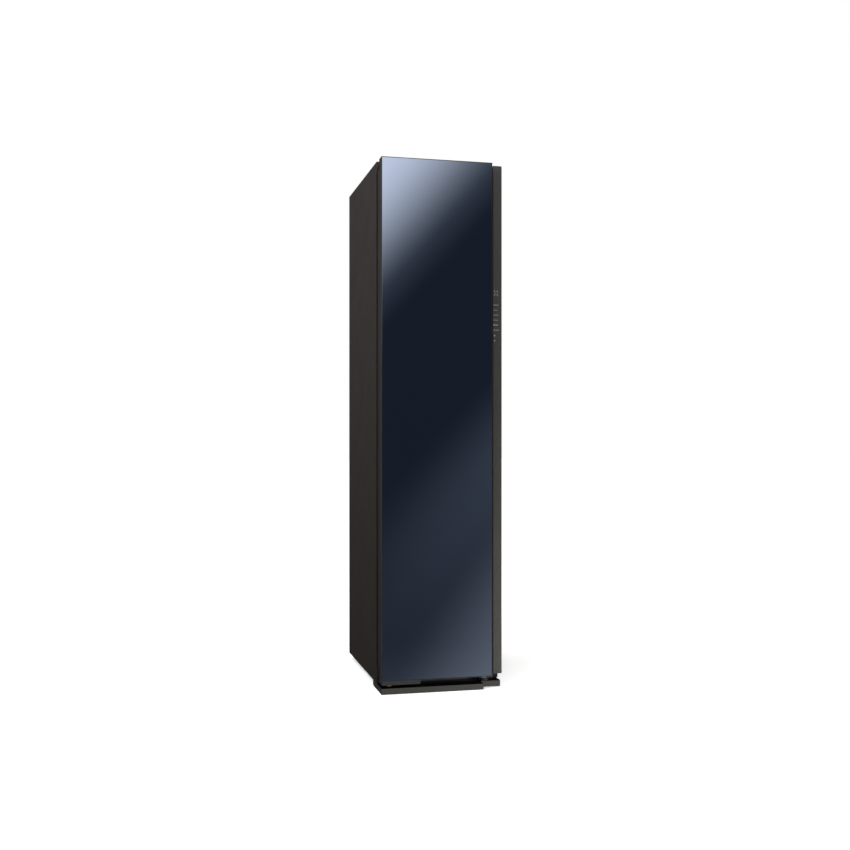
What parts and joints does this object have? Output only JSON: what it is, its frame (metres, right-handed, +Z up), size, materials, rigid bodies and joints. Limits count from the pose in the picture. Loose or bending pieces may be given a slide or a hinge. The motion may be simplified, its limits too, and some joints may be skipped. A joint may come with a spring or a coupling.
{
  "type": "clothes care steam cabinet",
  "caption": "Tall narrow floor-standing cabinet with a mirror door that steams and dries hanging clothes; water tanks and a heat pump below.",
  "frame": {"origin": "on the floor, below the middle of the cabinet's bounding box", "axes": "+Z up, door towards -Y, +X to the right of someone facing the door"},
  "size_m": [0.445, 0.615, 1.85],
  "materials": {
    "casing_paint": "satin",
    "casing_rear": "satin",
    "galvanised": "satin",
    "dark_plastic": "matte",
    "base_plastic": "matte",
    "black_plastic": "matte",
    "frame_plastic": "satin",
    "liner_plastic": "satin",
    "foam": "matte",
    "lens": "satin",
    "hanger_plastic": "satin",
    "filter_plastic": "satin",
    "mesh": "matte",
    "tank_plastic": "gloss",
    "cap_plastic": "satin",
    "duct_plastic": "matte",
    "fan_plastic": "matte",
    "motor_steel": "satin",
    "coil_aluminium": "satin",
    "compressor_black": "gloss",
    "mount_rubber": "matte",
    "boiler_plastic": "satin",
    "hose_rubber": "matte",
    "copper": "satin",
    "board": "satin",
    "hinge_steel": "satin",
    "cover_grey": "satin",
    "mirror": "gloss",
    "panel_grey": "satin",
    "door_paint": "satin",
    "gasket_rubber": "matte",
    "strip_gloss": "satin",
    "bush_plastic": "matte",
    "foot_steel": "satin"
  },
  "bodies": {
    "cabinet": {"side_panel_left": "casing_paint", "side_panel_right": "casing_paint", "top_cover": "casing_paint", "rear_panel": "casing_rear", "rear_grille": "black_plastic", "base_pan": "galvanised", "base_cover": "base_plastic", "front_base_rail": "galvanised", "rear_feet": "black_plastic", "front_frame": "frame_plastic", "wall_insulation": "foam", "cavity_liner": "liner_plastic", "cavity_floor": "liner_plastic", "cavity_ceiling": "liner_plastic", "light_lens": "lens", "steam_nozzle": "dark_plastic", "tank_bay": "frame_plastic", "jet_housing": "duct_plastic", "rear_duct": "duct_plastic", "machine_deck": "galvanised", "heat_exchangers": "coil_aluminium", "heat_pump_casing": "duct_plastic", "fan_motors": "motor_steel", "compressor": "compressor_black", "compressor_mounts": "mount_rubber", "steam_generator": "boiler_plastic", "water_pumps": "dark_plastic", "water_hoses": "hose_rubber", "refrigerant_pipes": "copper", "control_board": "board", "cord_inlet": "black_plastic", "upper_hinge": "hinge_steel", "lower_hinge": "hinge_steel", "lower_hinge_cover": "cover_grey"},
    "door": {"door_glass": "mirror", "door_panel_frame": "panel_grey", "door_shell": "door_paint", "door_insulation": "foam", "door_liner": "dark_plastic", "door_gasket": "gasket_rubber", "control_strip": "strip_gloss", "control_pcb": "board", "door_bushes": "bush_plastic"},
    "jet_rotor": {"jet_fan": "fan_plastic"},
    "heat_pump_rotor": {"process_fan": "fan_plastic"},
    "supply_tank": {"supply_tank": "tank_plastic"},
    "supply_cap": {"supply_tank_cap": "cap_plastic"},
    "drain_tank": {"drain_tank": "tank_plastic"},
    "drain_cap": {"drain_tank_cap": "cap_plastic"},
    "lint_filter": {"lint_filter": "filter_plastic", "lint_mesh": "mesh"},
    "shelf": {"shelf": "liner_plastic"},
    "hanger_left": {"hanger_left": "hanger_plastic"},
    "hanger_middle": {"hanger_middle": "hanger_plastic"},
    "hanger_right": {"hanger_right": "hanger_plastic"},
    "foot_left": {"front_foot_left": "foot_steel"},
    "foot_right": {"front_foot_right": "foot_steel"},
    "wheel_left": {"foot_wheel_left": "black_plastic"},
    "wheel_right": {"foot_wheel_right": "black_plastic"}
  },
  "joints": [
    {"name": "door_hinge", "type": "hinge", "parent": "cabinet", "child": "door", "pos_m": [-0.2025, -0.2515, 0.9], "axis": [0, 0, -1], "range_deg": [0, 100]},
    {"name": "jet_fan_spin", "type": "hinge", "parent": "cabinet", "child": "jet_rotor", "pos_m": [0, 0.15, 1.81], "axis": [0, 0, 1], "continuous": true},
    {"name": "heat_pump_fan_spin", "type": "hinge", "parent": "cabinet", "child": "heat_pump_rotor", "pos_m": [-0.006, 0.27, 0.2945], "axis": [0, 1, 0], "continuous": true},
    {"name": "supply_tank_slide", "type": "slide", "parent": "cabinet", "child": "supply_tank", "axis": [0, -1, 0], "range_m": [0, 0.036]},
    {"name": "supply_cap_hinge", "type": "hinge", "parent": "supply_tank", "child": "supply_cap", "pos_m": [-0.078, -0.145, 0.3104], "axis": [-1, 0, 0], "range_deg": [0, 80]},
    {"name": "drain_tank_slide", "type": "slide", "parent": "cabinet", "child": "drain_tank", "axis": [0, -1, 0], "range_m": [0, 0.036]},
    {"name": "drain_cap_hinge", "type": "hinge", "parent": "drain_tank", "child": "drain_cap", "pos_m": [0.078, -0.145, 0.3104], "axis": [-1, 0, 0], "range_deg": [0, 80]},
    {"name": "lint_filter_lift", "type": "slide", "parent": "cabinet", "child": "lint_filter", "axis": [0, 0, 1], "range_m": [0, 0.06]},
    {"name": "shelf_lift", "type": "slide", "parent": "cabinet", "child": "shelf", "axis": [0, 0, 1], "range_m": [0, 0.1]},
    {"name": "hanger_left_unplug", "type": "slide", "parent": "cabinet", "child": "hanger_left", "axis": [0, 0, -1], "range_m": [0, 0.045]},
    {"name": "hanger_middle_unplug", "type": "slide", "parent": "cabinet", "child": "hanger_middle", "axis": [0, 0, -1], "range_m": [0, 0.045]},
    {"name": "hanger_right_unplug", "type": "slide", "parent": "cabinet", "child": "hanger_right", "axis": [0, 0, -1], "range_m": [0, 0.045]},
    {"name": "foot_wheel_left_turn", "type": "hinge", "parent": "cabinet", "child": "wheel_left", "pos_m": [-0.16, -0.2495, 0.026], "axis": [0, 0, 1], "range_deg": [0, 3600]},
    {"name": "foot_left_extend", "type": "slide", "parent": "cabinet", "child": "foot_left", "axis": [0, 0, -1], "range_m": [0, 0.015]},
    {"name": "foot_wheel_right_turn", "type": "hinge", "parent": "cabinet", "child": "wheel_right", "pos_m": [0.16, -0.2495, 0.026], "axis": [0, 0, 1], "range_deg": [0, 3600]},
    {"name": "foot_right_extend", "type": "slide", "parent": "cabinet", "child": "foot_right", "axis": [0, 0, -1], "range_m": [0, 0.015]}
  ],
  "couplings": [
    {"joint": "foot_wheel_left_turn", "follows": "foot_left_extend", "rad_per_m": 4188.4},
    {"joint": "foot_wheel_right_turn", "follows": "foot_right_extend", "rad_per_m": 4188.4}
  ]
}
